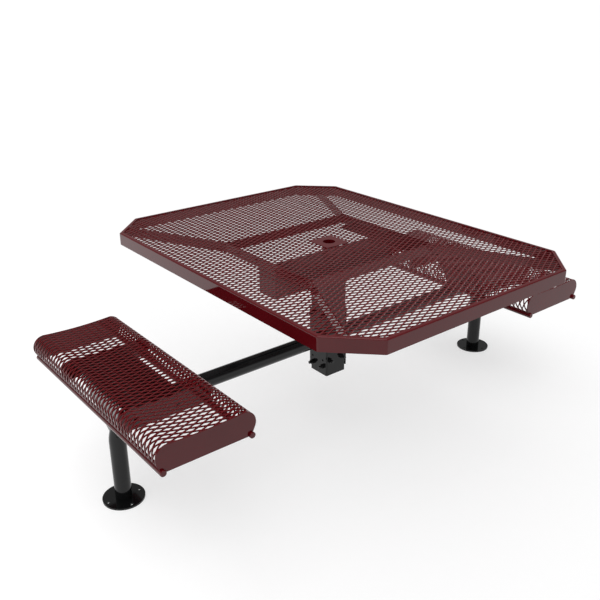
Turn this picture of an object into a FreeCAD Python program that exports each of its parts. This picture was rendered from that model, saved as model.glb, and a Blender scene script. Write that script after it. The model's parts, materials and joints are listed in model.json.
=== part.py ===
import FreeCAD, Part
import math
import os

from FreeCAD import Vector

os.makedirs("parts", exist_ok=True)

# Pedestal picnic table with an eight sided top and two rolled edge seats.
# Millimetres, +Z up, origin on the floor below the middle of the hub post.
# X runs from seat to seat, Y runs along the seats.

# Driving sizes of the table top
table_height = 762.0
top_width = 1178.0
top_length = 1550.0
corner_cut = 144.0
rim_depth = 50.0
rim_wall = 3.0
rim_flange = 15.0
rim_edge_radius = 5.0
rim_corner_radius = 10.0

# Expanded metal, drawn coarser than the real one
sheet_thickness = 5.0
diamond_long = 182.0
diamond_short = 84.0
strand_width = 15.0
seat_diamond_short = 104.0
smallest_opening_share = 0.12

# Flat bar frame welded below the top
frame_width = 624.0
frame_length = 534.0
bar_depth = 38.0
bar_thickness = 6.0

# Umbrella plate in the middle of the top
umbrella_plate_side = 112.0
umbrella_hole = 49.0
umbrella_lap = 10.0
umbrella_sleeve_wall = 3.0

# Angles that join the top to the beam
angle_leg = 50.0
angle_thickness = 5.0
angle_length = 450.0
angle_root_radius = 4.0
top_bolt_pitch = 120.0
top_bolt_count = 4

# Square tube beam and hub post
tube_side = 101.6
tube_wall = 4.8
tube_corner_radius = 6.0
beam_length = 610.0
beam_cap_thickness = 3.0
hub_bottom_height = 197.0

# Seat arms, each one bent tube from the hub down to the floor
arm_diameter = 60.3
arm_wall = 3.9
arm_height = 350.0
arm_bend_radius = 115.0
arm_bend_angle = 90.0
leg_distance = 965.0
arm_plate_thickness = 5.0
arm_plate_height = 258.0
arm_bolt_spread = 60.0
arm_bolt_rise = 224.0
spare_hole = 9.0
spare_hole_spread = 64.0
cross_bolt_spread = 64.0
cross_bolt_height = 266.0

# Floor flanges
flange_diameter = 152.0
flange_thickness = 6.4
flange_bolt_circle = 122.0
flange_hole = 11.0
flange_hole_count = 4

# Seats
seat_distance = 878.0
seat_length = 936.0
seat_width = 356.0
seat_height = 488.0
seat_roll_radius = 44.0
seat_dish_angle = 4.5
seat_rod_diameter = 22.0
seat_rod_spacing = 317.2
seat_rod_height = 400.0
seat_rod_overhang = 9.0
seat_plate_thickness = 4.8
seat_plate_bottom = 396.0
seat_plate_foot_width = 294.0
seat_rib_distance = 219.0
seat_rib_bottom = 408.0

# Seat brackets
bracket_outer_reach = 135.0
bracket_inner_reach = 67.0
bracket_top_height = 472.0
bracket_thickness = 5.0
bracket_flange_depth = 56.0
bracket_bend_radius = 4.0
seat_bolt_spread = 150.0
seat_bolt_drop = 36.0
gusset_head_width = 300.0
outer_gusset_foot_height = 268.0
outer_gusset_foot_width = 56.0
outer_gusset_lean = 35.0
inner_gusset_foot_width = 84.0
inner_gusset_foot_drop = 8.0

# Fasteners
hub_bolt = 12.7
top_bolt = 9.5
bolt_hole_clearance = 0.8
head_sides = 6
head_width_share = 1.5
head_height_share = 0.64
nut_height_share = 0.85
bolt_tail = 10.0

# Fits
weld_gap = 0.3
overrun = 20.0

# Places worked out from the sizes above
rim_bottom = table_height - rim_depth
sheet_top = table_height - rim_wall
sheet_bottom = sheet_top - sheet_thickness
bar_bottom = sheet_bottom - bar_depth
beam_top = bar_bottom - angle_thickness
beam_bottom = beam_top - tube_side
hub_half = tube_side / 2
arm_radius = arm_diameter / 2
arm_start = hub_half + arm_plate_thickness
rod_radius = seat_rod_diameter / 2
roll_centre_u = seat_width / 2 - seat_roll_radius
roll_centre_w = seat_height - seat_roll_radius
roll_middle_radius = seat_roll_radius - sheet_thickness / 2
half_seat = seat_length / 2
half_sheet = half_seat - seat_plate_thickness - weld_gap
half_bracket = seat_rib_distance - seat_plate_thickness / 2 - weld_gap
rod_reach = half_seat + seat_rod_overhang
SIDES = {"left": -1, "right": 1}
ENDS = {"front": -1, "back": 1}


def save(name, shape):
    """Write one sub-part, named as a person would name it."""
    if shape.ShapeType == "Compound" and len(shape.Solids) == 1:
        shape = shape.Solids[0]
    shape.exportStep("parts/" + name + ".step")
    print(name, shape.isValid(), len(shape.Solids), "solid(s)", round(shape.Volume / 1000, 1), "cm3")


def block(x_range, y_range, z_range):
    """Box between pairs of coordinates."""
    low = Vector(min(x_range), min(y_range), min(z_range))
    sizes = [max(span) - min(span) for span in (x_range, y_range, z_range)]
    return Part.makeBox(*sizes, low)


def rod(start, end, radius):
    """Round bar between two points."""
    along = end - start
    return Part.makeCylinder(radius, along.Length, start, along)


def prism(points, depth):
    """Solid made by pushing a flat outline through a distance."""
    return Part.Face(Part.makePolygon(points + points[:1])).extrude(depth)


# Table top

def octagon(inset, height):
    """Clipped rectangle, drawn in from the outside of the rim by an inset."""
    x = top_width / 2 - inset
    y = top_length / 2 - inset
    cut = corner_cut - inset * (2 - math.sqrt(2))
    quarter = [(x, y - cut), (x - cut, y), (cut - x, y), (-x, y - cut)]
    opposite = [(-across, -along) for across, along in quarter]
    return [Vector(across, along, height) for across, along in quarter + opposite]


def octagon_prism(inset, low, high):
    return prism(octagon(inset, low), Vector(0, 0, high - low))


def upright_edges(shape):
    """Edges of a prism that stand along Z."""
    return [edge for edge in shape.Edges
            if abs(edge.tangentAt(edge.FirstParameter).z) > math.cos(math.radians(1))]


def top_edges(shape, height):
    """Edges that lie in the plane of the table top."""
    return [edge for edge in shape.Edges
            if all(abs(point.Point.z - height) < weld_gap for point in edge.Vertexes)]


def top_rim():
    """Formed edge: deep apron, rolled top corner and a flange over the mesh."""
    skin = octagon_prism(0, rim_bottom, table_height)
    skin = skin.makeFillet(rim_corner_radius, upright_edges(skin))
    skin = skin.makeFillet(rim_edge_radius, top_edges(skin, table_height))
    hollow = octagon_prism(rim_wall, rim_bottom - overrun, sheet_top)
    hollow = hollow.makeFillet(rim_corner_radius - rim_wall, upright_edges(hollow))
    window = octagon_prism(rim_flange, rim_bottom, table_height + overrun)
    return skin.cut([hollow, window])


def open_share(long_way, short_way, strand):
    """How far each diamond opening shrinks so that a strand stays round it."""
    gap_across_strands = long_way * short_way / math.hypot(long_way, short_way)
    return 1 - strand / gap_across_strands


def diamond_centres(reach_long, reach_short, long_way, short_way):
    """Staggered centres of the openings within a reach of the middle."""
    columns = math.ceil(2 * reach_long / long_way)
    rows = math.ceil(2 * reach_short / short_way)
    return [(column * long_way / 2, row * short_way / 2)
            for column in range(-columns, columns + 1)
            for row in range(-rows, rows + 1)
            if (column + row) % 2 == 0]


def flat_diamond(across, along):
    """One opening as a flat face at the underside of the top mesh."""
    share = open_share(diamond_long, diamond_short, strand_width)
    reach = share * diamond_long / 2
    rise = share * diamond_short / 2
    corners = [(reach, 0), (0, rise), (-reach, 0), (0, -rise)]
    points = [Vector(across + step, along + lift, sheet_bottom) for step, lift in corners]
    return Part.Face(Part.makePolygon(points + points[:1]))


def flat_square(side, height):
    half = side / 2
    corners = [(half, half), (-half, half), (-half, -half), (half, -half)]
    points = [Vector(across, along, height) for across, along in corners]
    return Part.Face(Part.makePolygon(points + points[:1]))


def top_mesh():
    """Expanded metal panel: openings cut off where the flange and the plate cover them."""
    panel = Part.Face(Part.makePolygon(closed(octagon(rim_wall + weld_gap, sheet_bottom))))
    window = Part.Face(Part.makePolygon(closed(octagon(rim_flange, sheet_bottom))))
    window = window.cut(flat_square(umbrella_plate_side, sheet_bottom))
    centres = diamond_centres(top_width / 2, top_length / 2, diamond_long, diamond_short)
    cells = [flat_diamond(*centre) for centre in centres]
    full_area = cells[0].Area
    openings = []
    for cell in cells:
        for piece in cell.common(window).Faces:
            if piece.Area > smallest_opening_share * full_area:
                openings.append(piece)
    pole_window = flat_square(umbrella_plate_side - 2 * umbrella_lap, sheet_bottom)
    panel = panel.cut(Part.makeCompound(openings + [pole_window]))
    return panel.Faces[0].extrude(Vector(0, 0, sheet_thickness))


def closed(points):
    return points + points[:1]


def umbrella_plate():
    half = umbrella_plate_side / 2
    plate = block((-half, half), (-half, half), (sheet_top, table_height))
    hole = rod(Vector(0, 0, sheet_top - overrun), Vector(0, 0, table_height + overrun), umbrella_hole / 2)
    return plate.cut(hole)


def umbrella_sleeve():
    """Short tube below the plate that guides the umbrella pole down to the beam."""
    foot = Vector(0, 0, beam_top + weld_gap)
    head = Vector(0, 0, sheet_top - weld_gap)
    bore = umbrella_hole / 2
    return rod(foot, head, bore + umbrella_sleeve_wall).cut(rod(foot, head, bore))


def side_bar(side):
    """Bar along Y below the mesh, drilled for the bolts of the beam angle."""
    outer = frame_width / 2
    inner = outer - bar_thickness
    bar = block((side * inner, side * outer), (-frame_length / 2, frame_length / 2), (bar_bottom, sheet_bottom))
    return bar.cut(top_bolt_holes(side))


def end_bar(end):
    """Bar along X, fitted between the two side bars."""
    half = frame_width / 2 - bar_thickness
    outer = frame_length / 2
    return block((-half, half), (end * (outer - bar_thickness), end * outer), (bar_bottom, sheet_bottom))


def corner_brace(side, end):
    """Flat bar from a corner of the frame to the middle of the clipped corner."""
    corner = Vector(side * frame_width / 2, end * frame_length / 2, bar_bottom)
    tip = Vector(side * (top_width - corner_cut) / 2, end * (top_length - corner_cut) / 2, bar_bottom)
    along = (tip - corner).normalize()
    across = Vector(-along.y, along.x, 0) * (bar_thickness / 2)
    start = corner + along * weld_gap - along * bar_depth
    finish = tip + along * bar_depth
    points = [start + across, finish + across, finish - across, start - across]
    bar = prism(points, Vector(0, 0, bar_depth))
    inside = octagon_prism(rim_wall + weld_gap, bar_bottom - overrun, sheet_bottom + overrun)
    half_x = frame_width / 2 + weld_gap
    half_y = frame_length / 2 + weld_gap
    frame = block((-half_x, half_x), (-half_y, half_y), (bar_bottom - overrun, sheet_bottom + overrun))
    return bar.common(inside).cut(frame)


# Beam, hub and the angles that carry the top

def top_bolt_places():
    """Y places of the bolts through each beam angle."""
    middle = (top_bolt_count - 1) / 2
    return [(index - middle) * top_bolt_pitch for index in range(top_bolt_count)]


def top_bolt_height():
    return bar_bottom + bar_depth / 2


def top_bolt_holes(side):
    radius = (top_bolt + bolt_hole_clearance) / 2
    outer = frame_width / 2 + overrun
    inner = frame_width / 2 - angle_leg
    return [rod(Vector(side * inner, along, top_bolt_height()),
                Vector(side * outer, along, top_bolt_height()), radius)
            for along in top_bolt_places()]


def beam_angle(side):
    """Rolled angle: one leg on the beam, the other against the frame bar."""
    heel = side * (frame_width / 2 - bar_thickness)
    half = angle_length / 2
    upright_top = sheet_bottom - angle_thickness
    flat_leg = block((heel, heel - side * angle_leg), (-half, half), (beam_top, bar_bottom))
    upright = block((heel, heel - side * angle_thickness), (-half, half), (beam_top, upright_top))
    angle = flat_leg.fuse(upright).removeSplitter()
    root_x = heel - side * angle_thickness
    root = [edge for edge in angle.Edges
            if all(abs(v.Point.x - root_x) < weld_gap and abs(v.Point.z - bar_bottom) < weld_gap
                   for v in edge.Vertexes)]
    return angle.makeFillet(angle_root_radius, root).cut(top_bolt_holes(side))


def square_tube(start, end):
    """Square tube with rounded corners between two points on its middle line."""
    along = end - start
    if abs(along.z) > abs(along.x):
        outer = block((-hub_half, hub_half), (-hub_half, hub_half), (start.z, end.z))
        inner_half = hub_half - tube_wall
        inner = block((-inner_half, inner_half), (-inner_half, inner_half),
                      (start.z - overrun, end.z + overrun))
    else:
        outer = block((start.x, end.x), (-hub_half, hub_half), (start.z - hub_half, start.z + hub_half))
        inner_half = hub_half - tube_wall
        inner = block((start.x - overrun, end.x + overrun), (-inner_half, inner_half),
                      (start.z - inner_half, start.z + inner_half))
    direction = along.normalize()
    outer = outer.makeFillet(tube_corner_radius, edges_along(outer, direction))
    inner = inner.makeFillet(tube_corner_radius - tube_wall, edges_along(inner, direction))
    return outer.cut(inner)


def edges_along(shape, direction):
    """Straight edges that run with a direction."""
    return [edge for edge in shape.Edges
            if abs(edge.tangentAt(edge.FirstParameter).dot(direction)) > math.cos(math.radians(1))]


def beam_axis_height():
    return beam_bottom + hub_half


def support_beam():
    """Cross beam; its top wall has the socket for the umbrella pole."""
    start = Vector(-beam_length / 2, 0, beam_axis_height())
    end = Vector(beam_length / 2, 0, beam_axis_height())
    socket = rod(Vector(0, 0, beam_axis_height()), Vector(0, 0, beam_top + overrun), umbrella_hole / 2)
    return square_tube(start, end).cut(socket)


def beam_cap(side):
    """Plate let into the open end of the beam."""
    half = hub_half - tube_wall - weld_gap
    height = beam_axis_height()
    outer = side * beam_length / 2
    inner = outer - side * beam_cap_thickness
    cap = block((inner, outer), (-half, half), (height - half, height + half))
    corner = tube_corner_radius - tube_wall
    return cap.makeFillet(corner, edges_along(cap, Vector(1, 0, 0)))


def arm_bolt_places():
    """Y and Z places of the bolts that clamp the two arm plates to the hub."""
    half = arm_bolt_rise / 2
    return [(across * arm_bolt_spread / 2, arm_height + up * half)
            for up in (-1, 1) for across in (-1, 1)]


def hub_drillings():
    """Every hole through the hub post and the arm plates."""
    far = hub_half + overrun
    radius = (hub_bolt + bolt_hole_clearance) / 2
    holes = [rod(Vector(-far, y, z), Vector(far, y, z), radius) for y, z in arm_bolt_places()]
    for across in (-cross_bolt_spread / 2, cross_bolt_spread / 2):
        holes.append(rod(Vector(across, -far, cross_bolt_height), Vector(across, far, cross_bolt_height), radius))
    for along in (-spare_hole_spread / 2, spare_hole_spread / 2):
        holes.append(rod(Vector(-far, along, cross_bolt_height), Vector(far, along, cross_bolt_height),
                         spare_hole / 2))
    return holes


def hub_post():
    post = square_tube(Vector(0, 0, hub_bottom_height), Vector(0, 0, beam_bottom))
    return post.cut(hub_drillings())


def arm_plate(side):
    """Plate on the end of an arm, bolted flat against the hub."""
    half = arm_plate_height / 2
    plate = block((side * hub_half, side * arm_start), (-hub_half, hub_half),
                  (arm_height - half, arm_height + half))
    return plate.cut(hub_drillings())


# Arms and floor flanges

def arm_solid(side, radius):
    """Round bar along an arm: out from the hub, round the bend, down to the flange."""
    bend_x = side * (leg_distance - arm_bend_radius)
    bend_z = arm_height - arm_bend_radius
    bend_start = Vector(bend_x, 0, arm_height)
    bend_end = Vector(side * leg_distance, 0, bend_z)
    level = rod(Vector(side * arm_start, 0, arm_height), bend_start, radius)
    section = Part.Face(Part.Wire(Part.makeCircle(radius, bend_start, Vector(side, 0, 0))))
    bend = section.revolve(Vector(bend_x, 0, bend_z), Vector(0, side, 0), arm_bend_angle)
    leg = rod(bend_end, Vector(side * leg_distance, 0, flange_thickness), radius)
    return level.fuse([bend, leg])


def arm_tube(side):
    return arm_solid(side, arm_radius).cut(arm_solid(side, arm_radius - arm_wall))


def floor_flange(side):
    """Round foot plate, drilled for anchors."""
    centre = Vector(side * leg_distance, 0, 0)
    disc = Part.makeCylinder(flange_diameter / 2, flange_thickness, centre)
    holes = []
    for index in range(flange_hole_count):
        angle = 2 * math.pi * index / flange_hole_count
        reach = flange_bolt_circle / 2
        place = centre + Vector(reach * math.cos(angle), reach * math.sin(angle), 0)
        holes.append(rod(place - Vector(0, 0, overrun), place + Vector(0, 0, overrun), flange_hole / 2))
    return disc.cut(holes)


# Seats: u runs across the seat from its middle, w is the height

def skirt_angle():
    """Angle where the roll ends and the mesh runs straight to the edge rod."""
    across = seat_rod_spacing / 2 - roll_centre_u
    down = seat_rod_height - roll_centre_w
    return math.atan2(down, across) + math.acos(roll_middle_radius / math.hypot(across, down))


def roll_point(angle, inset):
    """Point of the right hand roll, in from its outside by an inset."""
    radius = seat_roll_radius - inset
    return roll_centre_u + radius * math.cos(angle), roll_centre_w + radius * math.sin(angle)


def roll_start():
    """Angle where the dished middle runs into the roll."""
    return math.radians(90 + seat_dish_angle)


def skirt_end(inset):
    """Point beside the edge rod's middle where the mesh's surface would end."""
    lift = seat_roll_radius - inset - roll_middle_radius
    angle = skirt_angle()
    return seat_rod_spacing / 2 + lift * math.cos(angle), seat_rod_height + lift * math.sin(angle)


def dish_bottom(inset):
    """Lowest point of the dished middle."""
    slope = math.radians(seat_dish_angle)
    swing = roll_centre_u / math.sin(slope)
    return roll_centre_w + swing * math.cos(slope) - (swing - (seat_roll_radius - inset))


def profile(inset, centre, along):
    """Edges of the seat's section from one edge rod to the other."""
    def at(point, mirror):
        return Vector(centre + mirror * point[0], along, point[1])
    middle_angle = (roll_start() + skirt_angle()) / 2
    ends = [at(skirt_end(inset), mirror) for mirror in (-1, 1)]
    bends = [at(roll_point(skirt_angle(), inset), mirror) for mirror in (-1, 1)]
    crowns = [at(roll_point(middle_angle, inset), mirror) for mirror in (-1, 1)]
    shoulders = [at(roll_point(roll_start(), inset), mirror) for mirror in (-1, 1)]
    dish = Vector(centre, along, dish_bottom(inset))
    return [Part.makeLine(ends[0], bends[0]),
            Part.Arc(bends[0], crowns[0], shoulders[0]).toShape(),
            Part.Arc(shoulders[0], dish, shoulders[1]).toShape(),
            Part.Arc(shoulders[1], crowns[1], bends[1]).toShape(),
            Part.makeLine(bends[1], ends[1])]


def outer_end(edges, last):
    """First or last point of a run of edges."""
    return edges[-1].Vertexes[-1].Point if last else edges[0].Vertexes[0].Point


def edge_rod_places(centre):
    return [centre - seat_rod_spacing / 2, centre + seat_rod_spacing / 2]


def edge_rod_cutters(centre):
    """Room for the two edge rods, with the weld gap round them."""
    return [rod(Vector(x, -half_seat - overrun, seat_rod_height),
                Vector(x, half_seat + overrun, seat_rod_height), rod_radius + weld_gap)
            for x in edge_rod_places(centre)]


def diamond_slice(centre_s, centre_y, low, high):
    """Part of one opening, as a flat outline, that lies between two places along the sheet."""
    share = open_share(diamond_long, seat_diamond_short, strand_width)
    reach = share * diamond_long / 2
    rise = share * seat_diamond_short / 2
    first = max(low, centre_s - reach)
    last = min(high, centre_s + reach)
    if last - first < weld_gap:
        return []
    knots = [first] + ([centre_s] if first < centre_s < last else []) + [last]
    above = []
    below = []
    for knot in knots:
        half = rise * (1 - abs(knot - centre_s) / reach)
        above.append((knot, centre_y + half))
        if half > weld_gap / 2:
            below.append((knot, centre_y - half))
    return above + below[::-1]


def sheet_stretches():
    """Stretches of the sheet: range along it, its middle point, its facing angle and its bend."""
    dish_half = roll_point(roll_start(), sheet_thickness / 2)[0]
    half_angle = (roll_start() - skirt_angle()) / 2
    half_arc = half_angle * roll_middle_radius
    stretches = [(-dish_half, dish_half, (0, roll_centre_w + roll_middle_radius), math.pi / 2, None)]
    for index in range(2):
        low = dish_half + index * half_arc
        facing = roll_start() - (index + 1 / 2) * half_angle
        middle = roll_point(facing, sheet_thickness / 2)
        stretches.append((low, low + half_arc, middle, facing, roll_middle_radius))
    bend = roll_point(skirt_angle(), sheet_thickness / 2)
    foot = skirt_end(sheet_thickness / 2)
    low = dish_half + 2 * half_arc
    middle = ((foot[0] + bend[0]) / 2, (foot[1] + bend[1]) / 2)
    stretches.append((low, low + math.dist(bend, foot), middle, skirt_angle(), None))
    return stretches


def stretch_cutter(outline, stretch, centre, mirror):
    """Cutter for one slice of an opening, square to its stretch of the sheet."""
    low, high, middle, facing, bend = stretch
    origin = Vector(centre + mirror * middle[0], 0, middle[1])
    normal = Vector(mirror * math.cos(facing), 0, math.sin(facing))
    tangent = Vector(mirror * math.sin(facing), 0, -math.cos(facing))
    depth = bend or seat_roll_radius / 2
    points = []
    for along_sheet, along_y in outline:
        step = along_sheet - (low + high) / 2
        if bend:
            step = bend * math.sin(step / bend)
        points.append(origin - normal * depth + tangent * step + Vector(0, along_y, 0))
    return prism(points, normal * (depth + overrun))


def seat_cutters(centre):
    """Cutters for every opening of one seat."""
    stretches = sheet_stretches()
    lap = sheet_thickness / 2
    cutters = []
    for centre_s, centre_y in diamond_centres(stretches[-1][1], half_seat, diamond_long, seat_diamond_short):
        mirror = -1 if centre_s < 0 else 1
        for stretch in stretches:
            outline = diamond_slice(abs(centre_s), centre_y, stretch[0] - lap, stretch[1] + lap)
            if len(outline) > 2:
                cutters.append(stretch_cutter(outline, stretch, centre, mirror))
    return cutters


def seat_mesh(side):
    """Expanded metal sheet with a dished middle and both long edges rolled down."""
    centre = side * seat_distance
    outside = profile(0, centre, -half_sheet)
    inside = profile(sheet_thickness, centre, -half_sheet)
    caps = [Part.makeLine(outer_end(outside, last), outer_end(inside, last)) for last in (False, True)]
    section = Part.Face(Part.Wire(Part.__sortEdges__(outside + inside + caps)))
    sheet = section.extrude(Vector(0, 2 * half_sheet, 0))
    border = half_sheet - strand_width / 2
    keep = block((centre - seat_width, centre + seat_width), (-border, border),
                 (0, seat_height + 2 * overrun))
    cutters = [cutter.common(keep) for cutter in seat_cutters(centre)]
    cutters = [cutter for cutter in cutters if cutter.Solids]
    sheet = sheet.cut(edge_rod_cutters(centre)).cut(cutters)
    return max(sheet.Solids, key=lambda piece: piece.Volume)


def seat_section_plate(side, start, inset):
    """Plate with the outline of the seat's section, notched for the edge rods."""
    centre = side * seat_distance
    edges = profile(inset, centre, start)
    foot_half = seat_plate_foot_width / 2
    feet = [Vector(centre + mirror * foot_half, start, seat_plate_bottom) for mirror in (-1, 1)]
    lower = [Part.makeLine(outer_end(edges, True), feet[1]),
             Part.makeLine(feet[1], feet[0]),
             Part.makeLine(feet[0], outer_end(edges, False))]
    plate = Part.Face(Part.Wire(edges + lower)).extrude(Vector(0, seat_plate_thickness, 0))
    return plate.cut(edge_rod_cutters(centre))


def seat_end_plate(side, end):
    """Plate that caps the end of the mesh."""
    start = half_seat - seat_plate_thickness if end > 0 else -half_seat
    return seat_section_plate(side, start, 0)


def seat_rib(side, end):
    """Plate that carries the mesh from below, bolted to an end flange of the bracket."""
    start = end * seat_rib_distance - seat_plate_thickness / 2
    centre = side * seat_distance
    plate = seat_section_plate(side, start, sheet_thickness + weld_gap)
    above = block((centre - seat_width, centre + seat_width), (start - overrun, start + overrun),
                  (seat_rib_bottom, seat_height + overrun))
    return plate.common(above).cut(seat_bolt_holes(side, end))


def seat_rod(side, row):
    x = edge_rod_places(side * seat_distance)[row]
    return rod(Vector(x, -rod_reach, seat_rod_height), Vector(x, rod_reach, seat_rod_height), rod_radius)


# Seat brackets

def bracket_span(side):
    """X range of the bracket plate, inner side first."""
    return (side * (seat_distance - bracket_inner_reach), side * (seat_distance + bracket_outer_reach))


def seat_bolt_places(side):
    """X places of the bolts through each rib."""
    centre = sum(bracket_span(side)) / 2
    return [centre - seat_bolt_spread / 2, centre + seat_bolt_spread / 2]


def seat_bolt_height():
    return bracket_top_height - seat_bolt_drop


def seat_bolt_holes(side, end):
    radius = (top_bolt + bolt_hole_clearance) / 2
    near = end * (seat_rib_distance - overrun)
    far = end * (seat_rib_distance + overrun)
    return [rod(Vector(x, near, seat_bolt_height()), Vector(x, far, seat_bolt_height()), radius)
            for x in seat_bolt_places(side)]


def bracket_underside():
    return bracket_top_height - bracket_thickness


def seat_bracket(side):
    """Formed plate below the mesh, with a flange down at both ends."""
    inner, outer = bracket_span(side)
    low = bracket_top_height - bracket_flange_depth
    skin = block((inner, outer), (-half_bracket, half_bracket), (low, bracket_top_height))
    skin = skin.makeFillet(bracket_bend_radius + bracket_thickness, upper_bends(skin, bracket_top_height))
    hollow = block((inner - side * overrun, outer + side * overrun),
                   (bracket_thickness - half_bracket, half_bracket - bracket_thickness),
                   (low - overrun, bracket_underside()))
    hollow = hollow.makeFillet(bracket_bend_radius, upper_bends(hollow, bracket_underside()))
    holes = [hole for end in ENDS.values() for hole in seat_bolt_holes(side, end)]
    return skin.cut([hollow] + holes)


def upper_bends(shape, height):
    """Edges along X at a height."""
    return [edge for edge in edges_along(shape, Vector(1, 0, 0))
            if abs(edge.Vertexes[0].Point.z - height) < weld_gap]


def gusset(side, head, foot, foot_width):
    """Trapezoid plate from the bracket down to the arm, cut round the tube."""
    head_half = gusset_head_width / 2
    foot_half = foot_width / 2
    down = (foot - head).normalize()
    normal = Vector(-down.z, 0, down.x) * bracket_thickness
    spread = Vector(0, 1, 0)
    top = head - down * overrun
    flare = overrun * (head_half - foot_half) / (foot - head).Length
    points = [top + spread * (head_half + flare), foot + spread * foot_half,
              foot - spread * foot_half, top - spread * (head_half + flare)]
    plate = prism(points, normal)
    above = block((head.x - seat_width, head.x + seat_width), (-gusset_head_width, gusset_head_width),
                  (bracket_underside() - weld_gap, bracket_top_height + overrun))
    return plate.cut([above, arm_solid(side, arm_radius + weld_gap)])


def outer_gusset(side):
    """Gusset on the outside of the bend; it leans in towards the leg."""
    shift = 0 if side < 0 else -bracket_thickness
    outer = bracket_span(side)[1] + shift
    foot = Vector(outer - side * outer_gusset_lean, 0, outer_gusset_foot_height)
    return gusset(side, Vector(outer, 0, bracket_underside()), foot, outer_gusset_foot_width)


def inner_gusset(side):
    """Gusset over the straight part of the arm."""
    inner = bracket_span(side)[0] + side * bracket_thickness
    foot = Vector(inner, 0, arm_height - inner_gusset_foot_drop)
    return gusset(side, Vector(inner, 0, bracket_underside()), foot, inner_gusset_foot_width)


# Fasteners

def hexagon(centre, axis, width, thickness):
    """Head or nut with flat sides; axis points the way it is thick."""
    radius = width / 2 / math.cos(math.pi / head_sides)
    side_way = Vector(0, 0, 1) if abs(axis.z) < math.cos(math.radians(45)) else Vector(1, 0, 0)
    other = axis.cross(side_way)
    points = []
    for index in range(head_sides):
        angle = 2 * math.pi * index / head_sides
        points.append(centre + side_way * (radius * math.cos(angle)) + other * (radius * math.sin(angle)))
    return prism(points, axis * thickness)


def bolt(head_seat, axis, grip, size):
    """Hexagon bolt; axis points from the head into the joint."""
    head = hexagon(head_seat - axis * (head_height_share * size), axis,
                   head_width_share * size, head_height_share * size)
    tail = head_seat + axis * (grip + nut_height_share * size + bolt_tail)
    return head.fuse(rod(head_seat - axis * (head_height_share * size / 2), tail, size / 2)).removeSplitter()


def nut(seat, axis, size):
    """Hexagon nut; axis points away from the joint."""
    thickness = nut_height_share * size
    body = hexagon(seat, axis, head_width_share * size, thickness)
    return body.cut(rod(seat - axis * overrun, seat + axis * overrun, size / 2 + weld_gap / 2))


def hub_fasteners():
    """Bolts and nuts through the hub, as lists of solids."""
    bolts, nuts = [], []
    joints = [(Vector(arm_start, y, z), Vector(-1, 0, 0), 2 * arm_start) for y, z in arm_bolt_places()]
    for across in (-cross_bolt_spread / 2, cross_bolt_spread / 2):
        joints.append((Vector(across, hub_half, cross_bolt_height), Vector(0, -1, 0), tube_side))
    for place, axis, grip in joints:
        bolts.append(bolt(place, axis, grip, hub_bolt))
        nuts.append(nut(place + axis * grip, axis, hub_bolt))
    return bolts, nuts


def top_fasteners():
    """Bolts and nuts that hold the frame bars to the beam angles."""
    bolts, nuts = [], []
    grip = bar_thickness + angle_thickness
    for side in SIDES.values():
        axis = Vector(-side, 0, 0)
        for along in top_bolt_places():
            place = Vector(side * frame_width / 2, along, top_bolt_height())
            bolts.append(bolt(place, axis, grip, top_bolt))
            nuts.append(nut(place + axis * grip, axis, top_bolt))
    return bolts, nuts


def seat_fasteners(side):
    """Bolts and nuts that hold the ribs of one seat to its bracket."""
    bolts, nuts = [], []
    grip = seat_plate_thickness + weld_gap + bracket_thickness
    for end in ENDS.values():
        axis = Vector(0, -end, 0)
        for x in seat_bolt_places(side):
            place = Vector(x, end * (seat_rib_distance + seat_plate_thickness / 2), seat_bolt_height())
            bolts.append(bolt(place, axis, grip, top_bolt))
            nuts.append(nut(place + axis * grip, axis, top_bolt))
    return bolts, nuts


def build_top():
    save("top_rim", top_rim())
    save("top_mesh", top_mesh())
    save("umbrella_plate", umbrella_plate())
    save("umbrella_sleeve", umbrella_sleeve())
    for end_name, end in ENDS.items():
        save("frame_bar_" + end_name, end_bar(end))
    for side_name, side in SIDES.items():
        save("frame_bar_" + side_name, side_bar(side))
        for end_name, end in ENDS.items():
            save("corner_brace_" + end_name + "_" + side_name, corner_brace(side, end))


def build_pedestal():
    save("support_beam", support_beam())
    save("hub_post", hub_post())
    for side_name, side in SIDES.items():
        save("beam_angle_" + side_name, beam_angle(side))
        save("beam_end_cap_" + side_name, beam_cap(side))
        save("arm_plate_" + side_name, arm_plate(side))
        save("arm_tube_" + side_name, arm_tube(side))
        save("floor_flange_" + side_name, floor_flange(side))


def build_seats():
    for side_name, side in SIDES.items():
        save("seat_mesh_" + side_name, seat_mesh(side))
        rows = ("outer", "inner") if side < 0 else ("inner", "outer")
        for row, row_name in enumerate(rows):
            save("seat_rod_" + side_name + "_" + row_name, seat_rod(side, row))
        for end_name, end in ENDS.items():
            save("seat_end_plate_" + side_name + "_" + end_name, seat_end_plate(side, end))
            save("seat_rib_" + side_name + "_" + end_name, seat_rib(side, end))
        save("seat_bracket_" + side_name, seat_bracket(side))
        save("outer_gusset_" + side_name, outer_gusset(side))
        save("inner_gusset_" + side_name, inner_gusset(side))
        bolts, nuts = seat_fasteners(side)
        save("seat_bolts_" + side_name, Part.makeCompound(bolts))
        save("seat_nuts_" + side_name, Part.makeCompound(nuts))


def build_fasteners():
    bolts, nuts = hub_fasteners()
    save("hub_bolts", Part.makeCompound(bolts))
    save("hub_nuts", Part.makeCompound(nuts))
    bolts, nuts = top_fasteners()
    save("top_bolts", Part.makeCompound(bolts))
    save("top_nuts", Part.makeCompound(nuts))


build_top()
build_pedestal()
build_seats()
build_fasteners()
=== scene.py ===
import json
import math

import bmesh
import bpy
from mathutils import Matrix, Vector

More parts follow.
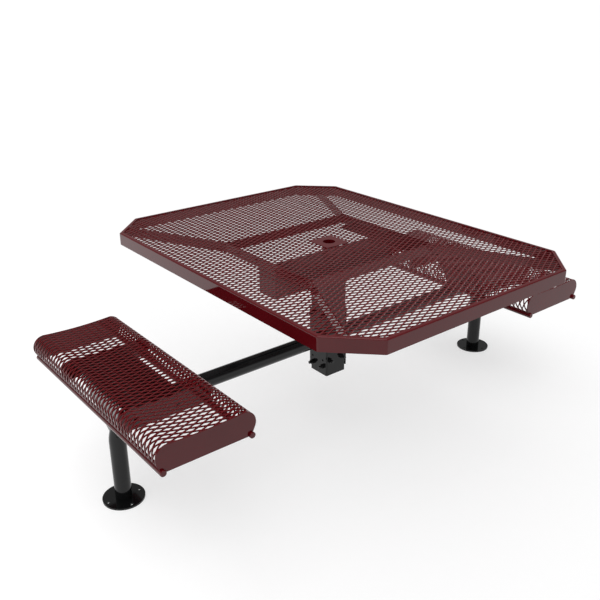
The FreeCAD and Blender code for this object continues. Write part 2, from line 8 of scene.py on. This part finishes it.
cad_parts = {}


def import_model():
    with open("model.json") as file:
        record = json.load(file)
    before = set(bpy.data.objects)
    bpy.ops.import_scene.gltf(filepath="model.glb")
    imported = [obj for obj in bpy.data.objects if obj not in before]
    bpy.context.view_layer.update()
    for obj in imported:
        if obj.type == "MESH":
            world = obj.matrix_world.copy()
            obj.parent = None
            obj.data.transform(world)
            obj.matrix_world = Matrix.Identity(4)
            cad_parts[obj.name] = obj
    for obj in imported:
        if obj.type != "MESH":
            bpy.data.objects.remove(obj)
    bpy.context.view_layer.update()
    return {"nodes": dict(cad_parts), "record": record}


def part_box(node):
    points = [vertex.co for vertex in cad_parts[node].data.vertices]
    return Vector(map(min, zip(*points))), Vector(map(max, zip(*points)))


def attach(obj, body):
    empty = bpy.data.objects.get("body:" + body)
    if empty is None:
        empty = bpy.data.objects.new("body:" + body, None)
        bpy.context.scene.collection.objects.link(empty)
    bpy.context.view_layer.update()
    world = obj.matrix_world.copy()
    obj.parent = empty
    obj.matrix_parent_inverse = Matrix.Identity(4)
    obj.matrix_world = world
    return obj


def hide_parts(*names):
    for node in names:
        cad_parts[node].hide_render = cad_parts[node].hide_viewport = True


# Pedestal picnic table: burgundy coated expanded metal on a black pedestal.
# Metres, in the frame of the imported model.
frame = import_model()

# Table top
corner_cut = 0.144
umbrella_plate_half = 0.056
plate_overlap = 0.016
top_sheet_inset = 0.004

# Expanded metal at its real size
top_diamond = (0.04605, 0.0216)
seat_diamond = (0.0528, 0.0218)
top_sheet_shift = (-0.0073, 0.0003)
seat_sheet_shift = (0.014, 0.0)
top_strand_thickness = 0.0032
seat_strand_thickness = 0.0042
sheet_clearance = 0.0003
cut_spare = 0.008
cell_reach = 0.032
spare_cells = 2
point_digits = 6
cut_tolerance = 0.00001
sharp_angle = 50

# Corners and edge middles of a diamond, as shares of half its length and half its width
diamond_outline_shares = (
    (1, 0), (0.5, 0.5), (0, 1), (-0.5, 0.5),
    (-1, 0), (-0.5, -0.5), (0, -1), (0.5, -0.5),
)
opening_long_share = 0.8
opening_short_share = 0.74
opening_bulge_share = 1.05

# Upper half of a strand's section: share of the way to the opening, and share of the thickness
top_strand_edge_shares = ((0, 0.5), (1, 0.5))
seat_strand_edge_shares = ((0, 0.5), (0.86, 0.5), (1, 0.32))

# Seats
seat_distance = 0.878
seat_half_length = 0.468
seat_half_width = 0.178
seat_height = 0.488
seat_roll_radius = 0.044
seat_sheet_thickness = 0.005
seat_dish_angle = 4.5
seat_rod_half_spacing = 0.1586
seat_rod_height = 0.400
seat_rod_radius = 0.011
seat_plate_thickness = 0.0048
seat_plate_bottom = 0.396
seat_plate_foot = 0.147
seat_rib_distance = 0.219
seat_rib_bottom = 0.408
weld_gap = 0.0003
dish_steps = 10
roll_steps = 20
notch_steps = 14
rod_steps = 56

# Softened edges
plate_edge = 0.0009
rod_edge = 0.003
edge_steps = 3

# Depth of the fine skin on each finish
coating_skin = 0.00003
mesh_coating_skin = 0.0001
powder_coat_skin = 0.0001
flange_skin = 0.00004
fastener_skin = 0.0001

# Patterns that all finishes share; scales are multiples of the dapple's
cloud_detail = 3.0
cloud_band = (0.35, 0.65)
fine_scale = 9
fine_detail = 4.0
fine_roughness = 0.6
scuff_scale = 22
scuff_detail = 6.0
scuff_roughness = 0.72
scuff_band = (0.71, 0.79)
scuff_tint = 0.3
cloud_dulling = 0.025
fine_dulling = 0.03
scuff_dulling = 0.1
skin_strength = 0.2
fine_skin_share = 0.6

# Photograph's camera
camera_place = Vector((-1.86745, -2.1562, 1.72453))
camera_azimuth = -38.57
camera_elevation = 23.05
camera_roll = -0.36
camera_lens = 45.65
sensor_width = 36.0
camera_reach = 400

# Studio
floor_reach = 150.0
floor_colour = (0.46, 0.46, 0.463, 1.0)
floor_roughness = 1.0
floor_glow = 0.56
side_glow = 0.25
side_glow_slant = 0.35
side_glow_band = (0.6, 2.2)
surround_colour = (1, 1, 1, 1)
surround_light = 0.5
surround_fade_band = (0.08, 0.26)
surround_fade_share = 0.72
sun_way = Vector((-0.25, -0.05, 1))
sun_strength = 1.6
sun_spread = 70

# Sides and ends of the table
SIDES = {"left": -1, "right": 1}
ENDS = {"front": -1, "back": 1}


# Shader maths

class Wire:
    """Output of a node, which takes part in shader maths with numbers and other outputs."""

    def __init__(self, recipe, socket):
        self.recipe = recipe
        self.socket = socket

    def _maths(self, operation, first, second):
        return self.recipe.node("ShaderNodeMath", {"operation": operation}, {0: first, 1: second})

    def __add__(self, other):
        return self._maths("ADD", self, other)

    def __radd__(self, other):
        return self._maths("ADD", other, self)

    def __sub__(self, other):
        return self._maths("SUBTRACT", self, other)

    def __rsub__(self, other):
        return self._maths("SUBTRACT", other, self)

    def __mul__(self, other):
        return self._maths("MULTIPLY", self, other)

    def __rmul__(self, other):
        return self._maths("MULTIPLY", other, self)


class Recipe:
    """Material, or world, written as nodes."""

    def __init__(self, owner):
        owner.use_nodes = True
        self.owner = owner
        self.tree = owner.node_tree

    def node(self, kind, settings=None, sockets=None, output=0):
        """Adds any node: its settings first, then the values or links of its sockets."""
        made = self.tree.nodes.new(kind)
        for name, value in (settings or {}).items():
            setattr(made, name, value)
        for name, value in (sockets or {}).items():
            self.feed(made.inputs[name], value)
        return Wire(self, made.outputs[output])

    def feed(self, socket, value):
        """Links an output to a socket, or sets the socket to a plain value."""
        if isinstance(value, Wire):
            self.tree.links.new(value.socket, socket)
        else:
            socket.default_value = value

    def finish(self, kind, wire):
        """Links a shader to the output of the tree."""
        ends = [node for node in self.tree.nodes if node.bl_idname == kind]
        self.tree.links.new(wire.socket, ends[0].inputs["Surface"])

    def noise(self, scale, detail=2.0, roughness=0.5):
        """Cloudy pattern that is fixed to the object."""
        place = self.node("ShaderNodeTexCoord", output="Object")
        sockets = {"Vector": place, "Scale": scale, "Detail": detail, "Roughness": roughness}
        return self.node("ShaderNodeTexNoise", sockets=sockets)

    def blend(self, share, first, second):
        """Colour between two colours, which are inputs 6 and 7 of a Mix node, with output 2."""
        sockets = {"Factor": share, 6: first, 7: second}
        return self.node("ShaderNodeMix", {"data_type": "RGBA"}, sockets, output=2)

    def band(self, value, low, high):
        """Value turned into 0 below a low end and 1 above a high end."""
        sockets = {"Value": value, 1: low, 2: high}
        return self.node("ShaderNodeMapRange", {"clamp": True}, sockets)

    def seen_directly(self):
        """1 for what the camera sees, straight or in a reflection, and 0 for light on its way."""
        kinds = ("Is Camera Ray", "Is Glossy Ray", "Is Transmission Ray")
        camera_ray, glossy_ray, clear_ray = [self.node("ShaderNodeLightPath", output=kind) for kind in kinds]
        return self.band(camera_ray + glossy_ray + clear_ray, 0.0, 1.0)


def coated_metal(name, shades, scuff_colour, roughness, ior, dapple_scale, skin_scale, skin_depth):
    """Coated steel: two close shades, a dappled gloss, a fine skin and a few faint scuffs."""
    recipe = Recipe(bpy.data.materials.new(name))
    shader = recipe.tree.nodes["Principled BSDF"]
    cloud = recipe.band(recipe.noise(dapple_scale, cloud_detail), *cloud_band)
    fine = recipe.noise(dapple_scale * fine_scale, fine_detail, fine_roughness)
    scratches = recipe.noise(dapple_scale * scuff_scale, scuff_detail, scuff_roughness)
    scuffs = recipe.band(scratches, *scuff_band)
    colour = recipe.blend(cloud, shades[0], shades[1])
    colour = recipe.blend(scuffs * scuff_tint, colour, scuff_colour)
    dulled = roughness + cloud * cloud_dulling + fine * fine_dulling + scuffs * scuff_dulling
    recipe.feed(shader.inputs["Base Color"], colour)
    recipe.feed(shader.inputs["Roughness"], dulled)
    recipe.feed(shader.inputs["IOR"], ior)
    height = recipe.noise(skin_scale) + fine * fine_skin_share
    sockets = {"Strength": skin_strength, "Distance": skin_depth, "Height": height}
    recipe.feed(shader.inputs["Normal"], recipe.node("ShaderNodeBump", sockets=sockets))
    return recipe.owner


def burgundy_coating():
    """Thick dipped plastic coating of the top and the seats."""
    return coated_metal(
        "burgundy_coating",
        shades=((0.098, 0.0022, 0.005, 1.0), (0.112, 0.003, 0.0062, 1.0)),
        scuff_colour=(0.16, 0.02, 0.024, 1.0),
        roughness=0.02,
        ior=1.42,
        dapple_scale=7.0,
        skin_scale=260.0,
        skin_depth=coating_skin,
    )


def burgundy_mesh_coating_painted_light():
    """The same coating on the thin strands, where it mirrors less; its shades are painted a brighter red
    than the plates' own, as painted light on the strands.
    """
    return coated_metal(
        "burgundy_mesh_coating_painted_light",
        # Brighter red than the coating's own colour: painted light on the strands.
        shades=((0.122, 0.0024, 0.005, 1.0), (0.138, 0.0032, 0.0062, 1.0)),
        scuff_colour=(0.18, 0.02, 0.024, 1.0),
        roughness=0.08,
        ior=1.4,
        dapple_scale=7.0,
        skin_scale=260.0,
        skin_depth=mesh_coating_skin,
    )


def black_powder_coat():
    """Gloss powder coat of the pedestal, the arms and the brackets."""
    return coated_metal(
        "black_powder_coat",
        shades=((0.0055, 0.0058, 0.0062, 1.0), (0.0085, 0.0088, 0.0092, 1.0)),
        scuff_colour=(0.03, 0.03, 0.031, 1.0),
        roughness=0.05,
        ior=1.38,
        dapple_scale=9.0,
        skin_scale=500.0,
        skin_depth=powder_coat_skin,
    )


def polished_black():
    """Smoother black of the floor flanges."""
    return coated_metal(
        "polished_black",
        shades=((0.0045, 0.0047, 0.005, 1.0), (0.0062, 0.0064, 0.0068, 1.0)),
        scuff_colour=(0.02, 0.02, 0.021, 1.0),
        roughness=0.02,
        ior=1.45,
        dapple_scale=11.0,
        skin_scale=900.0,
        skin_depth=flange_skin,
    )


def black_fasteners():
    """Blackened bolts and nuts, a little duller than the coat round them."""
    return coated_metal(
        "black_fasteners",
        shades=((0.006, 0.006, 0.0063, 1.0), (0.011, 0.011, 0.0115, 1.0)),
        scuff_colour=(0.05, 0.05, 0.05, 1.0),
        roughness=0.2,
        ior=1.45,
        dapple_scale=60.0,
        skin_scale=1400.0,
        skin_depth=fastener_skin,
    )


# Pieces

def add_piece(name, mesh, material, slot, *replaced):
    """Puts a mesh in the scene in the place of the nodes that it stands for."""
    piece = bpy.data.objects.new(name, mesh)
    bpy.context.collection.objects.link(piece)
    mesh.materials.append(material)
    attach(piece, "root")
    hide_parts(*replaced)
    return piece


def trim(work, cuts):
    """Cuts a mesh along planes and closes it; each cut is a point and an outward way."""
    for point, outward in cuts:
        geometry = work.verts[:] + work.edges[:] + work.faces[:]
        result = bmesh.ops.bisect_plane(work, geom=geometry, plane_co=point, plane_no=outward,
                                        clear_outer=True, dist=cut_tolerance)
        edges = [item for item in result["geom_cut"] if isinstance(item, bmesh.types.BMEdge)]
        bmesh.ops.edgenet_fill(work, edges=[edge for edge in edges if edge.is_boundary])
    bmesh.ops.recalc_face_normals(work, faces=work.faces[:])


def round_edges(piece, width):
    """Softens the sharp edges of a piece and keeps its flat faces flat."""
    piece.data.shade_smooth()
    bevel = piece.modifiers.new("softened_edges", "BEVEL")
    bevel.width = width
    bevel.segments = edge_steps
    bevel.limit_method = "ANGLE"
    bevel.angle_limit = math.radians(sharp_angle)
    bevel.harden_normals = True


# Expanded metal

def cell_ring(share_of_way):
    """Outline of one diamond cell moved some way towards its opening."""
    ring = []
    for across, along in diamond_outline_shares:
        bulge = opening_bulge_share if across and along else 1
        inner_across = across * opening_long_share * bulge
        inner_along = along * opening_short_share * bulge
        ring.append((across + (inner_across - across) * share_of_way,
                     along + (inner_along - along) * share_of_way))
    return ring


def cell_rings(diamond, thickness, edge_shares):
    """Loops of one cell from the top of its strands, over the edge, to the underside."""
    levels = edge_shares + tuple((way, -lift) for way, lift in edge_shares[::-1])
    rings = []
    for way, lift in levels:
        rings.append([(across * diamond[0] / 2, along * diamond[1] / 2, lift * thickness)
                      for across, along in cell_ring(way)])
    return rings


def expanded_metal(diamond, rings, shift, reach, keep, place, cuts):
    """Sheet of staggered diamonds, cut along planes.

    keep says whether a place of the sheet stays, with spare 1 for a whole cell and 0 for a face
    of it. place turns sheet coordinates into a point.
    """
    columns = math.ceil(2 * reach[0] / diamond[0]) + spare_cells
    rows = math.ceil(2 * reach[1] / diamond[1]) + spare_cells
    points = []
    faces = []
    known = {}

    def corner(*sheet_place):
        key = tuple(round(value, point_digits) for value in sheet_place)
        if key not in known:
            known[key] = len(points)
            points.append(place(*sheet_place))
        return known[key]

    for column in range(-columns, columns + 1):
        for row in range(-rows, rows + 1):
            middle = (shift[0] + column * diamond[0] / 2, shift[1] + row * diamond[1] / 2)
            if (column + row) % 2 or not keep(*middle, spare=1):
                continue
            for upper, lower in zip(rings, rings[1:]):
                count = len(upper)
                for index in range(count):
                    following = (index + 1) % count
                    quad = [upper[index], lower[index], lower[following], upper[following]]
                    quad = [(middle[0] + p[0], middle[1] + p[1], p[2]) for p in quad]
                    centre = [sum(p[axis] for p in quad) / len(quad) for axis in (0, 1)]
                    if keep(*centre, spare=0):
                        faces.append([corner(*p) for p in quad])
    mesh = bpy.data.meshes.new("expanded_metal")
    mesh.from_pydata(points, [], faces)
    mesh.shade_smooth()
    work = bmesh.new()
    work.from_mesh(mesh)
    trim(work, cuts)
    for edge in work.edges:
        edge.smooth = edge.calc_face_angle(0) < math.radians(sharp_angle)
    work.to_mesh(mesh)
    work.free()
    return mesh


def inside_octagon(half_x, half_y, x, y, margin):
    """True for a point inside the clipped rectangle, or within a margin of it."""
    slant = (half_x - abs(x) + half_y - abs(y) - corner_cut) / math.sqrt(2)
    return min(half_x - abs(x), half_y - abs(y), slant) > -margin


def top_sheet(material):
    """Fine expanded metal below the rim's flange, open below the umbrella plate."""
    low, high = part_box("top_mesh")
    half_x = (high[0] - low[0]) / 2 - top_sheet_inset
    half_y = (high[1] - low[1]) / 2 - top_sheet_inset
    middle_height = high[2] - top_strand_thickness / 2 - sheet_clearance
    window = umbrella_plate_half - plate_overlap

    def keep(x, y, spare):
        if max(abs(x), abs(y)) < window and not spare:
            return False
        return inside_octagon(half_x, half_y, x, y, spare * cell_reach)

    slant = Vector((half_x, half_y - corner_cut, 0))
    cuts = [(Vector((sign * half_x, 0, 0)), Vector((sign, 0, 0))) for sign in (-1, 1)]
    cuts += [(Vector((0, sign * half_y, 0)), Vector((0, sign, 0))) for sign in (-1, 1)]
    for sign_x in (-1, 1):
        for sign_y in (-1, 1):
            outward = Vector((sign_x, sign_y, 0)).normalized()
            cuts.append((Vector((slant.x * sign_x, slant.y * sign_y, 0)), outward))
    rings = cell_rings(top_diamond, top_strand_thickness, top_strand_edge_shares)
    mesh = expanded_metal(top_diamond, rings, top_sheet_shift, (half_x, half_y), keep,
                          lambda x, y, lift: (x, y, middle_height + lift), cuts)
    add_piece("top_mesh_fine", mesh, material, "burgundy_coating", "top_mesh")


class SeatSection:
    """Section of the seat: shallow dish, roll, and a straight run down to the edge rod."""

    def __init__(self):
        self.slope = math.radians(seat_dish_angle)
        self.centre_u = seat_half_width - seat_roll_radius
        self.centre_w = seat_height - seat_roll_radius
        self.radius = seat_roll_radius - seat_sheet_thickness / 2
        swing = self.centre_u / math.sin(self.slope)
        self.dish_w = self.centre_w + swing * math.cos(self.slope)
        self.dish_radius = swing - self.radius
        self.dish_length = self.dish_radius * self.slope
        across = seat_rod_half_spacing - self.centre_u
        down = seat_rod_height - self.centre_w
        self.skirt = math.atan2(down, across) + math.acos(self.radius / math.hypot(across, down))
        self.roll_length = (math.pi / 2 + self.slope - self.skirt) * self.radius
        self.skirt_length = math.sqrt(across ** 2 + down ** 2 - self.radius ** 2)
        self.length = self.dish_length + self.roll_length + self.skirt_length

    def place(self, distance, lift):
        """Point across the seat and its height, at a distance along the sheet."""
        side = -1 if distance < 0 else 1
        distance = abs(distance)
        if distance <= self.dish_length:
            angle = distance / self.dish_radius
            reach = self.dish_radius - lift
            return side * reach * math.sin(angle), self.dish_w - reach * math.cos(angle)
        turned = (distance - self.dish_length) / self.radius
        angle = math.pi / 2 + self.slope - turned
        past = max(0, self.skirt - angle) * self.radius
        angle = max(angle, self.skirt)
        reach = self.radius + lift
        u = self.centre_u + reach * math.cos(angle) + past * math.sin(angle)
        w = self.centre_w + reach * math.sin(angle) - past * math.cos(angle)
        return side * u, w

    def half_outline(self, inset):
        """Points from the middle of the seat to a foot of a plate, notched round the rod."""
        lift = seat_sheet_thickness / 2 - inset
        notch = seat_rod_radius + weld_gap
        stops = [self.dish_length * step / dish_steps for step in range(dish_steps)]
        stops += [self.dish_length + self.roll_length * step / roll_steps for step in range(roll_steps + 1)]
        stops.append(self.length - math.sqrt(notch ** 2 - lift ** 2))
        points = [self.place(stop, lift) for stop in stops]
        start = math.atan2(points[-1][1] - seat_rod_height, points[-1][0] - seat_rod_half_spacing)
        end = math.atan2(seat_plate_bottom - seat_rod_height, seat_plate_foot - seat_rod_half_spacing)
        turn = (end - start) % (2 * math.pi)
        for step in range(1, notch_steps + 1):
            angle = start + turn * step / notch_steps
            points.append((seat_rod_half_spacing + notch * math.cos(angle),
                           seat_rod_height + notch * math.sin(angle)))
        return points + [(seat_plate_foot, seat_plate_bottom)]


def seat_sheet(side_name, side, material):
    """Fine expanded metal of one seat, rolled down round both long edges."""
    section = SeatSection()
    half_sheet = seat_half_length - seat_plate_thickness - weld_gap
    sink = (seat_sheet_thickness - seat_strand_thickness) / 2 - sheet_clearance

    def keep(distance, along, spare):
        across_seat = abs(distance) < section.length + spare * cut_spare
        return across_seat and abs(along) < half_sheet + cut_spare + spare * cell_reach

    def place(distance, along, lift):
        u, w = section.place(distance, lift + sink)
        return side * seat_distance + u, along, w

    cuts = [(Vector((0, sign * half_sheet, 0)), Vector((0, sign, 0))) for sign in (-1, 1)]
    rings = cell_rings(seat_diamond, seat_strand_thickness, seat_strand_edge_shares)
    reach = (section.length, half_sheet + cut_spare)
    mesh = expanded_metal(seat_diamond, rings, seat_sheet_shift, reach, keep, place, cuts)
    add_piece("seat_mesh_fine_" + side_name, mesh, material, "burgundy_coating", "seat_mesh_" + side_name)


def pushed_outline(outline, low, high, cuts=()):
    """Mesh of an outline of X and Z, pushed along Y."""
    work = bmesh.new()
    ends = [[work.verts.new((x, y, z)) for x, z in outline] for y in (low, high)]
    work.faces.new(ends[0])
    work.faces.new(ends[1][::-1])
    for index in range(len(outline)):
        following = (index + 1) % len(outline)
        work.faces.new((ends[0][index], ends[0][following], ends[1][following], ends[1][index]))
    trim(work, cuts)
    mesh = bpy.data.meshes.new("pushed_outline")
    work.to_mesh(mesh)
    work.free()
    return mesh


def seat_plate(name, material, side, middle, inset, cuts=()):
    """Plate with the seat's section as its outline."""
    half = SeatSection().half_outline(inset)
    outline = half + [(-u, w) for u, w in half[:0:-1]]
    outline = [(side * seat_distance + u, w) for u, w in outline]
    low = middle - seat_plate_thickness / 2
    high = middle + seat_plate_thickness / 2
    mesh = pushed_outline(outline, low, high, cuts)
    piece = add_piece(name + "_fine", mesh, material, "burgundy_coating", name)
    round_edges(piece, plate_edge)


def seat_rod(name, material):
    """Round bar along the seat's edge with softened ends."""
    low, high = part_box(name)
    centre_x = (low[0] + high[0]) / 2
    centre_z = (low[2] + high[2]) / 2
    radius = (high[2] - low[2]) / 2
    outline = []
    for step in range(rod_steps):
        angle = 2 * math.pi * step / rod_steps
        outline.append((centre_x + radius * math.cos(angle), centre_z + radius * math.sin(angle)))
    mesh = pushed_outline(outline, low[1], high[1])
    piece = add_piece(name + "_fine", mesh, material, "burgundy_coating", name)
    round_edges(piece, rod_edge)


def seat_frame(side_name, side, material):
    """End plates, ribs and edge rods of one seat."""
    rib_cut = [(Vector((0, 0, seat_rib_bottom)), Vector((0, 0, -1)))]
    rib_inset = seat_sheet_thickness + weld_gap
    for end_name, end in ENDS.items():
        place = end * (seat_half_length - seat_plate_thickness / 2)
        seat_plate("seat_end_plate_" + side_name + "_" + end_name, material, side, place, 0)
        place = end * seat_rib_distance
        seat_plate("seat_rib_" + side_name + "_" + end_name, material, side, place, rib_inset, rib_cut)
    for row in ("outer", "inner"):
        seat_rod("seat_rod_" + side_name + "_" + row, material)


# Finishes of the carried-over pieces

def finish_nodes(burgundy, black, polished, fasteners):
    """Gives every CAD node its finish by the record's slots, and the floor flanges a smoother one."""
    finishes = {"burgundy_coating": burgundy, "black_powder_coat": black, "black_fasteners": fasteners}
    slots = {entry["node"]: entry["material_slot"] for entry in frame["record"]["subparts"]}
    for name, piece in frame["nodes"].items():
        material = polished if name.startswith("floor_flange") else finishes[slots[name]]
        piece.data.materials.clear()
        piece.data.materials.append(material)


# Studio

def floor():
    """Pale floor that shows white to the camera, brighter to the left, and keeps the table's shadow."""
    mesh = bpy.data.meshes.new("studio_floor")
    corners = [(x * floor_reach, y * floor_reach, 0) for x, y in ((-1, -1), (1, -1), (1, 1), (-1, 1))]
    mesh.from_pydata(corners, [], [(0, 1, 2, 3)])
    piece = bpy.data.objects.new("studio_floor", mesh)
    bpy.context.collection.objects.link(piece)
    recipe = Recipe(bpy.data.materials.new("studio_floor"))
    shader = recipe.tree.nodes["Principled BSDF"]
    recipe.feed(shader.inputs["Base Color"], floor_colour)
    recipe.feed(shader.inputs["Roughness"], floor_roughness)
    recipe.feed(shader.inputs["Specular IOR Level"], 0.0)
    place = recipe.node("ShaderNodeTexCoord", output="Object")
    along_x = recipe.node("ShaderNodeSeparateXYZ", sockets={0: place}, output="X")
    along_y = recipe.node("ShaderNodeSeparateXYZ", sockets={0: place}, output="Y")
    leftward = recipe.band(side_glow_slant * along_y - along_x, *side_glow_band)
    strength = recipe.seen_directly() * (floor_glow + leftward * side_glow)
    glow = recipe.node("ShaderNodeEmission", sockets={"Strength": strength})
    added = recipe.node("ShaderNodeAddShader", sockets={0: Wire(recipe, shader.outputs[0]), 1: glow})
    recipe.finish("ShaderNodeOutputMaterial", added)
    mesh.materials.append(recipe.owner)


def world():
    """Surround that is white near the floor and grey above, and a plain soft light."""
    surround = bpy.data.worlds.new("studio")
    bpy.context.scene.world = surround
    recipe = Recipe(surround)
    direction = recipe.node("ShaderNodeTexCoord", output="Generated")
    height = recipe.node("ShaderNodeSeparateXYZ", sockets={0: direction}, output="Z")
    shown = 1 - recipe.band(height, *surround_fade_band) * surround_fade_share
    seen = recipe.seen_directly()
    strength = seen * shown + (1 - seen) * surround_light
    sockets = {"Color": surround_colour, "Strength": strength}
    recipe.finish("ShaderNodeOutputWorld", recipe.node("ShaderNodeBackground", sockets=sockets))


def sun():
    """Very wide lamp overhead, a little from the left."""
    data = bpy.data.lights.new("overhead", "SUN")
    data.energy = sun_strength
    data.angle = math.radians(sun_spread)
    piece = bpy.data.objects.new("overhead", data)
    piece.rotation_euler = sun_way.to_track_quat("Z", "Y").to_euler()
    bpy.context.collection.objects.link(piece)


def camera():
    """Camera of the photograph, from the fit to its edges."""
    azimuth = math.radians(camera_azimuth)
    elevation = math.radians(camera_elevation)
    back = Vector((math.sin(azimuth) * math.cos(elevation),
                   -math.cos(azimuth) * math.cos(elevation), math.sin(elevation)))
    right = Vector((0, 0, 1)).cross(back).normalized()
    up = back.cross(right)
    turn = Matrix.Rotation(math.radians(camera_roll), 3, back)
    axes = Matrix((turn @ right, turn @ up, back)).transposed()
    data = bpy.data.cameras.new("photo_camera")
    data.lens = camera_lens
    data.sensor_width = sensor_width
    data.clip_end = camera_reach
    piece = bpy.data.objects.new("photo_camera", data)
    piece.matrix_world = Matrix.Translation(camera_place) @ axes.to_4x4()
    bpy.context.collection.objects.link(piece)
    bpy.context.scene.camera = piece


bpy.context.scene.view_settings.view_transform = "Standard"
camera()
world()
sun()
floor()
coating = burgundy_coating()
finish_nodes(coating, black_powder_coat(), polished_black(), black_fasteners())
mesh_coating = burgundy_mesh_coating_painted_light()
top_sheet(mesh_coating)
for side_name, side in SIDES.items():
    seat_sheet(side_name, side, mesh_coating)
    seat_frame(side_name, side, coating)
